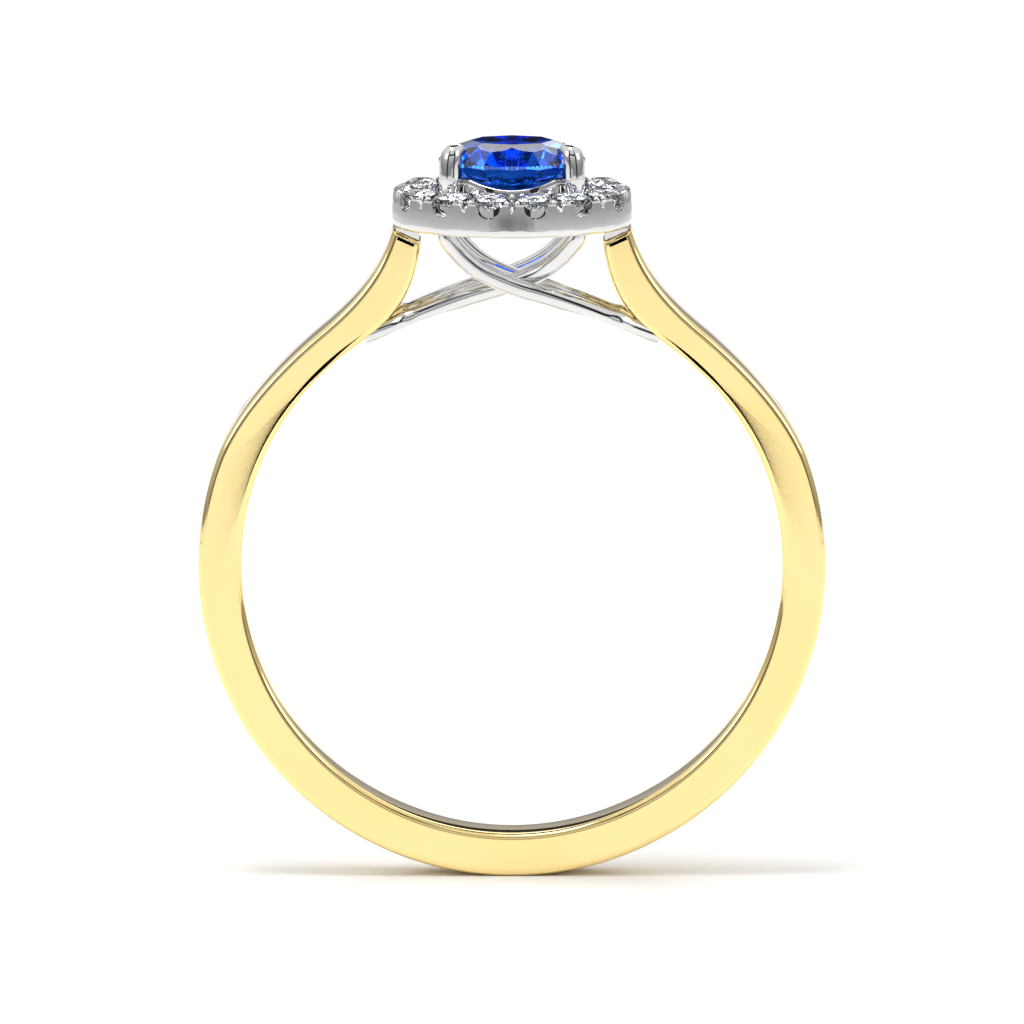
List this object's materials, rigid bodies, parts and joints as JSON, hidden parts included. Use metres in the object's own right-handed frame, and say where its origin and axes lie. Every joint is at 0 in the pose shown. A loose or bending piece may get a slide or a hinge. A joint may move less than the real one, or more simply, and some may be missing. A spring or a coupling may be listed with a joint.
{
  "type": "engagement ring",
  "caption": "Two-colour gold ring with swept shoulders, crossed claw wires and a round halo of small diamonds around one round blue stone.",
  "frame": {"origin": "centre of the finger bore, mid-way through the band's width", "axes": "+Y along the finger, +Z from the bore's centre up to the centre stone, +X across the ring to the right as seen from the front"},
  "size_m": [0.0198, 0.0076, 0.0233],
  "materials": {
    "yellow_gold": "18 carat yellow gold, mirror polished",
    "white_gold": "rhodium plated 18 carat white gold, mirror polished",
    "blue_sapphire": "polished facets, deep royal blue",
    "diamond": "polished facets, colourless"
  },
  "bodies": {
    "root": {"shank": "yellow_gold", "left_shoulder_pad": "white_gold", "right_shoulder_pad": "white_gold", "front_left_claw_wire": "white_gold", "front_right_claw_wire": "white_gold", "back_left_claw_wire": "white_gold", "back_right_claw_wire": "white_gold", "halo_plate": "white_gold", "centre_collet": "white_gold", "sapphire": "blue_sapphire", "diamond_01": "diamond", "diamond_02": "diamond", "diamond_03": "diamond", "diamond_04": "diamond", "diamond_05": "diamond", "diamond_06": "diamond", "diamond_07": "diamond", "diamond_08": "diamond", "diamond_09": "diamond", "diamond_10": "diamond", "diamond_11": "diamond", "diamond_12": "diamond", "diamond_13": "diamond", "diamond_14": "diamond"}
  },
  "joints": []
}
